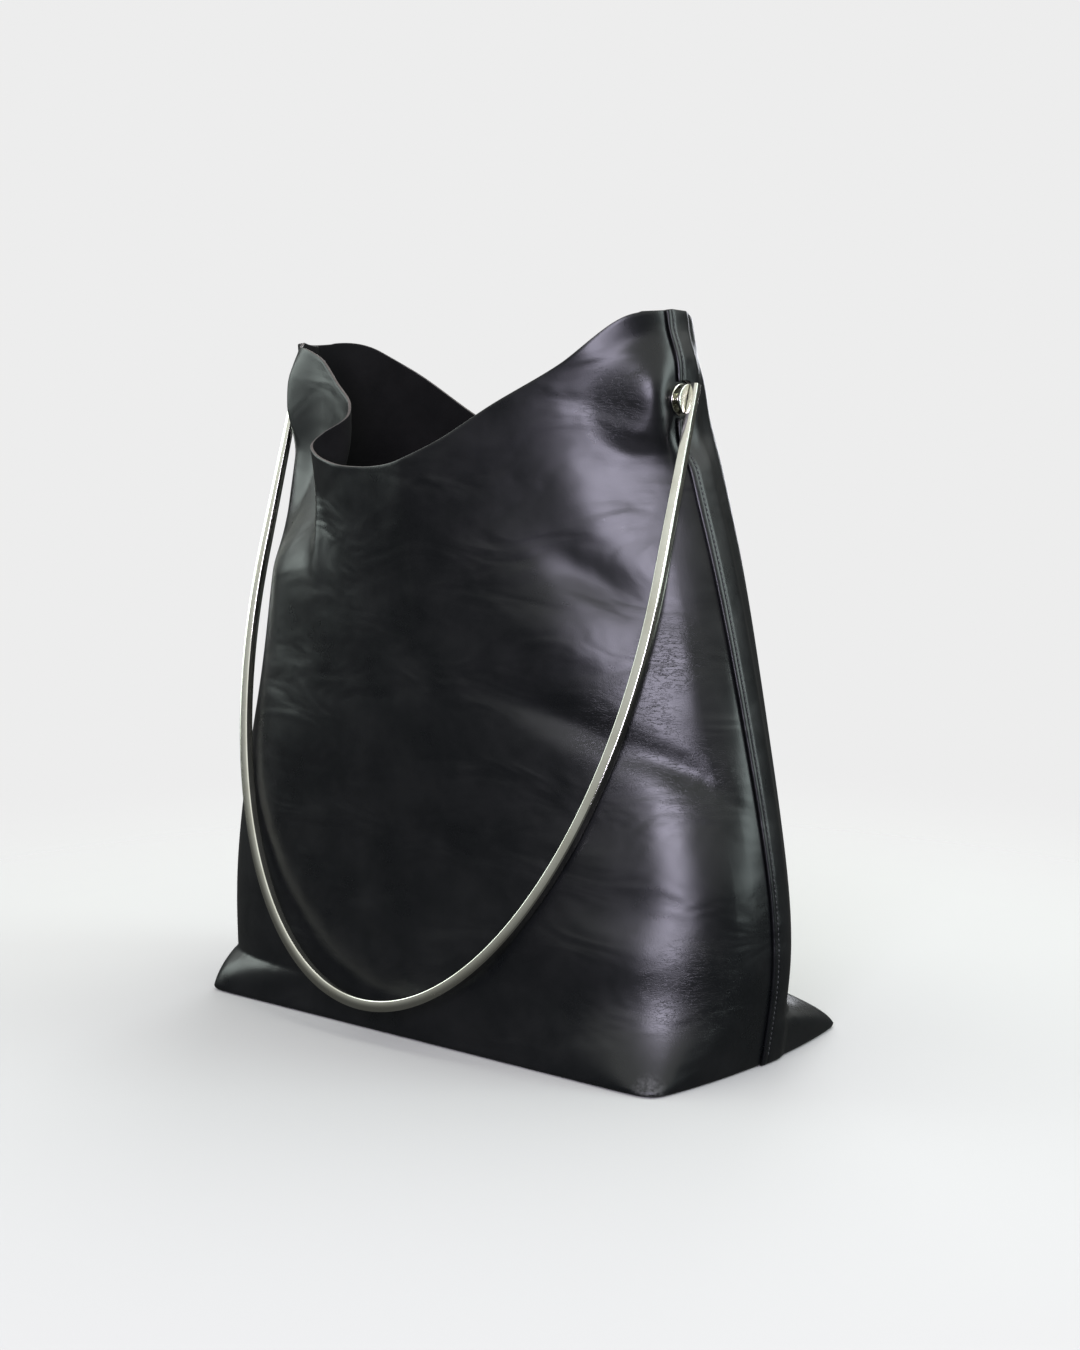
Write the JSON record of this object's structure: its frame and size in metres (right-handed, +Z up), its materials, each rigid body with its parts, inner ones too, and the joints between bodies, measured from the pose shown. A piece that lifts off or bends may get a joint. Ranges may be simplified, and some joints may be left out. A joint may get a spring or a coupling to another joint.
{
  "type": "leather tote bag",
  "caption": "Open black leather tote bag with a rigid metal hoop handle hinged at the tops of its side seams.",
  "frame": {"origin": "centre of the base's flat underside, where the bag stands", "axes": "+Z up towards the mouth; -Y is the front, where the handle rests; X runs from the left seam to the right seam"},
  "size_m": [0.4234, 0.2199, 0.4572],
  "materials": {
    "black_leather": "smooth glossy black leather",
    "polished_nickel": "polished, pale nickel",
    "grey_board": "matte stiffener board"
  },
  "bodies": {
    "bag": {"front_panel": "black_leather", "back_panel": "black_leather", "base_panel": "black_leather", "base_board": "grey_board", "left_eyelet_outer": "polished_nickel", "left_eyelet_inner": "polished_nickel", "left_pivot_patch": "black_leather", "right_eyelet_outer": "polished_nickel", "right_eyelet_inner": "polished_nickel", "right_pivot_patch": "black_leather"},
    "handle": {"handle_bar": "polished_nickel", "left_hub_disc": "polished_nickel", "left_spacer": "polished_nickel", "left_pivot_screw": "polished_nickel", "right_hub_disc": "polished_nickel", "right_spacer": "polished_nickel", "right_pivot_screw": "polished_nickel"}
  },
  "joints": [
    {"name": "handle_swing", "type": "hinge", "parent": "bag", "child": "handle", "pos_m": [0, 0, 0.403], "axis": [-1, 0, 0], "range_deg": [0, 300]}
  ]
}
